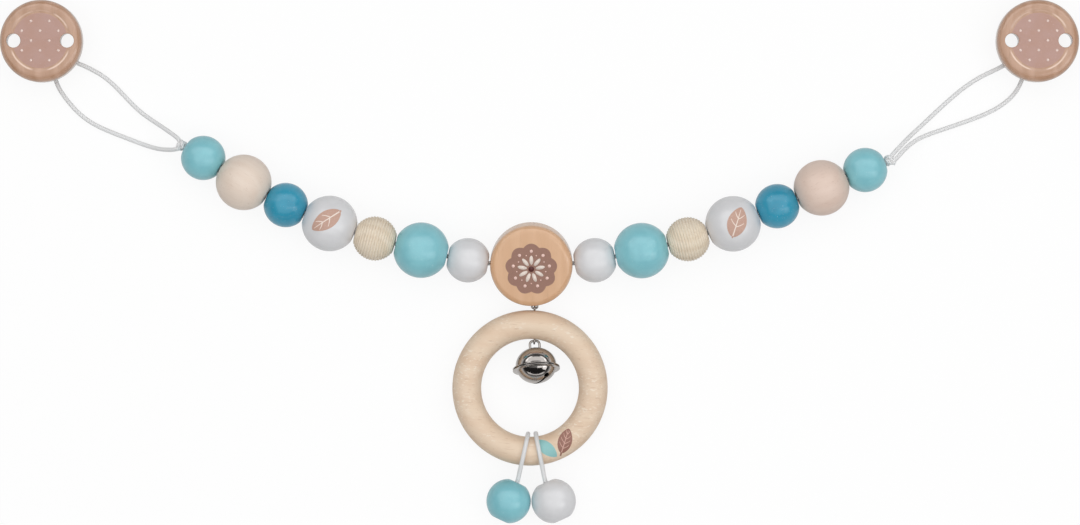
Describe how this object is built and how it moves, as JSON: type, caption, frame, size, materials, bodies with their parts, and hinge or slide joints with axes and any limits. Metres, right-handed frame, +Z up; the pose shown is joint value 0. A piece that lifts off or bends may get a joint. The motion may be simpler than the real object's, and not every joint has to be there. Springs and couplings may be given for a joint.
{
  "type": "pram chain toy",
  "caption": "Pram chain: wooden beads strung on a cord between two clips, with a centre disc, a grab ring, a jingle bell and bead pendants.",
  "frame": {"origin": "under the middle of the toy's outline, on the table plane", "axes": "+X along the chain from the left clip to the right clip, +Y from the pendants towards the clips, +Z up from the table"},
  "size_m": [0.4849, 0.2355, 0.025],
  "materials": {
    "white": "satin paint",
    "light_teal": "satin paint",
    "deep_blue": "satin paint",
    "natural": "clear lacquer",
    "ring_wood": "clear lacquer",
    "tan_wood": "clear lacquer",
    "clip_wood": "stained and lacquered",
    "cord": "braided",
    "steel": "bright",
    "nickel": "polished nickel plate",
    "pad_plastic": "moulded"
  },
  "bodies": {
    "cord": {"chain_cord": "cord", "left_knot": "cord", "right_knot": "cord", "left_loop_cord": "cord", "right_loop_cord": "cord"},
    "left_white_bead": {"left_white_bead": "white"},
    "left_light_teal_bead": {"left_light_teal_bead": "light_teal"},
    "left_grooved_bead": {"left_grooved_bead": "natural"},
    "left_leaf_bead": {"left_leaf_bead": "white"},
    "left_deep_blue_bead": {"left_deep_blue_bead": "deep_blue"},
    "left_natural_bead": {"left_natural_bead": "natural"},
    "left_end_teal_bead": {"left_end_teal_bead": "light_teal"},
    "right_white_bead": {"right_white_bead": "white"},
    "right_light_teal_bead": {"right_light_teal_bead": "light_teal"},
    "right_grooved_bead": {"right_grooved_bead": "natural"},
    "right_leaf_bead": {"right_leaf_bead": "white"},
    "right_deep_blue_bead": {"right_deep_blue_bead": "deep_blue"},
    "right_natural_bead": {"right_natural_bead": "natural"},
    "right_end_teal_bead": {"right_end_teal_bead": "light_teal"},
    "centre_disc": {"centre_disc": "tan_wood", "disc_staple": "steel"},
    "ring": {"wooden_ring": "ring_wood", "ring_screw_eye": "steel", "bell_screw_eye": "steel"},
    "bell": {"bell_upper_shell": "nickel", "bell_lower_shell": "nickel", "bell_bail": "nickel"},
    "bell_pellet": {"bell_pellet": "steel"},
    "left_pendant": {"left_pendant_cord": "cord", "left_pendant_knot": "cord"},
    "left_pendant_bead": {"left_pendant_bead": "light_teal"},
    "right_pendant": {"right_pendant_cord": "cord", "right_pendant_knot": "cord"},
    "right_pendant_bead": {"right_pendant_bead": "white"},
    "left_clip": {"left_clip_disc": "clip_wood", "left_clip_plate": "steel", "left_clip_rivet": "steel", "left_jaw_pad": "pad_plastic", "left_hinge_pin": "steel"},
    "left_clip_lever": {"left_clip_lever": "steel"},
    "right_clip": {"right_clip_disc": "clip_wood", "right_clip_plate": "steel", "right_clip_rivet": "steel", "right_jaw_pad": "pad_plastic", "right_hinge_pin": "steel"},
    "right_clip_lever": {"right_clip_lever": "steel"}
  },
  "joints": [
    {"name": "left_white_bead_spin", "type": "hinge", "parent": "cord", "child": "left_white_bead", "pos_m": [-0.03213, 0.00041, 0.01], "axis": [-0.9827, 0.1821, 0.0324], "continuous": true},
    {"name": "left_light_teal_bead_spin", "type": "hinge", "parent": "cord", "child": "left_light_teal_bead", "pos_m": [-0.05309, 0.00494, 0.0125], "axis": [-0.9718, 0.2333, 0.0349], "continuous": true},
    {"name": "left_grooved_bead_spin", "type": "hinge", "parent": "cord", "child": "left_grooved_bead", "pos_m": [-0.07389, 0.01018, 0.0115], "axis": [-0.9659, 0.2588, 0], "continuous": true},
    {"name": "left_leaf_bead_spin", "type": "hinge", "parent": "cord", "child": "left_leaf_bead", "pos_m": [-0.09422, 0.01694, 0.0125], "axis": [-0.9336, 0.3584, 0], "continuous": true},
    {"name": "left_deep_blue_bead_spin", "type": "hinge", "parent": "cord", "child": "left_deep_blue_bead", "pos_m": [-0.11399, 0.02523, 0.0115], "axis": [-0.9063, 0.4226, 0], "continuous": true},
    {"name": "left_natural_bead_spin", "type": "hinge", "parent": "cord", "child": "left_natural_bead", "pos_m": [-0.13284, 0.03541, 0.0125], "axis": [-0.8566, 0.5147, -0.0349], "continuous": true},
    {"name": "left_end_teal_bead_spin", "type": "hinge", "parent": "cord", "child": "left_end_teal_bead", "pos_m": [-0.15122, 0.04645, 0.01], "axis": [-0.8551, 0.5138, -0.0698], "continuous": true},
    {"name": "right_white_bead_spin", "type": "hinge", "parent": "cord", "child": "right_white_bead", "pos_m": [0.02493, 0.00041, 0.01], "axis": [0.9827, 0.1821, 0.0324], "continuous": true},
    {"name": "right_light_teal_bead_spin", "type": "hinge", "parent": "cord", "child": "right_light_teal_bead", "pos_m": [0.04594, 0.00473, 0.0125], "axis": [0.9757, 0.2163, 0.0349], "continuous": true},
    {"name": "right_grooved_bead_spin", "type": "hinge", "parent": "cord", "child": "right_grooved_bead", "pos_m": [0.06676, 0.00985, 0.0115], "axis": [0.9636, 0.2672, 0], "continuous": true},
    {"name": "right_leaf_bead_spin", "type": "hinge", "parent": "cord", "child": "right_leaf_bead", "pos_m": [0.08703, 0.01678, 0.0125], "axis": [0.9304, 0.3665, 0], "continuous": true},
    {"name": "right_deep_blue_bead_spin", "type": "hinge", "parent": "cord", "child": "right_deep_blue_bead", "pos_m": [0.10696, 0.02472, 0.0115], "axis": [0.9272, 0.3746, 0], "continuous": true},
    {"name": "right_natural_bead_spin", "type": "hinge", "parent": "cord", "child": "right_natural_bead", "pos_m": [0.12676, 0.03295, 0.0125], "axis": [0.9199, 0.3905, -0.0349], "continuous": true},
    {"name": "right_end_teal_bead_spin", "type": "hinge", "parent": "cord", "child": "right_end_teal_bead", "pos_m": [0.14663, 0.04103, 0.01], "axis": [0.9313, 0.3575, -0.0698], "continuous": true},
    {"name": "centre_disc_spin", "type": "hinge", "parent": "cord", "child": "centre_disc", "pos_m": [-0.0036, -0.0013, 0.01061], "axis": [1, 0, 0], "continuous": true},
    {"name": "ring_swing", "type": "hinge", "parent": "centre_disc", "child": "ring", "pos_m": [-0.0021, -0.02126, 0.00618], "axis": [1, 0, 0], "range_deg": [-25, 55]},
    {"name": "bell_swing", "type": "hinge", "parent": "ring", "child": "bell", "pos_m": [-0.00222, -0.03598, 0.00682], "axis": [0.9976, 0.0698, 0], "range_deg": [-50, 70]},
    {"name": "pellet_roll", "type": "slide", "parent": "bell", "child": "bell_pellet", "axis": [-0.0196, 0.2807, 0.9596], "range_m": [0, 0.011]},
    {"name": "left_pendant_swing", "type": "hinge", "parent": "ring", "child": "left_pendant", "pos_m": [-0.00676, -0.08538, 0.00895], "axis": [0.9767, -0.2147, 0], "range_deg": [-80, 80]},
    {"name": "left_pendant_bead_spin", "type": "hinge", "parent": "left_pendant", "child": "left_pendant_bead", "pos_m": [-0.01384, -0.10797, 0.0101], "axis": [0.4288, 0.9022, -0.0474], "continuous": true},
    {"name": "right_pendant_swing", "type": "hinge", "parent": "ring", "child": "right_pendant", "pos_m": [-0.00011, -0.0852, 0.00893], "axis": [-0.9813, -0.1925, 0], "range_deg": [-80, 80]},
    {"name": "right_pendant_bead_spin", "type": "hinge", "parent": "right_pendant", "child": "right_pendant_bead", "pos_m": [0.00645, -0.10795, 0.0101], "axis": [-0.4082, 0.9116, -0.0484], "continuous": true},
    {"name": "left_clip_swing", "type": "hinge", "parent": "cord", "child": "left_clip", "pos_m": [-0.21656, 0.08883, 0.0036], "axis": [-0.809, -0.5878, 0], "range_deg": [-8, 60]},
    {"name": "left_lever_open", "type": "hinge", "parent": "left_clip", "child": "left_clip_lever", "pos_m": [-0.22861, 0.10541, 0.0019], "axis": [0.809, 0.5878, 0], "range_deg": [0, 85]},
    {"name": "right_clip_swing", "type": "hinge", "parent": "cord", "child": "right_clip", "pos_m": [0.21665, 0.08891, 0.0036], "axis": [-0.809, 0.5878, 0], "range_deg": [-8, 60]},
    {"name": "right_lever_open", "type": "hinge", "parent": "right_clip", "child": "right_clip_lever", "pos_m": [0.2287, 0.10549, 0.0019], "axis": [0.809, -0.5878, 0], "range_deg": [0, 85]}
  ]
}
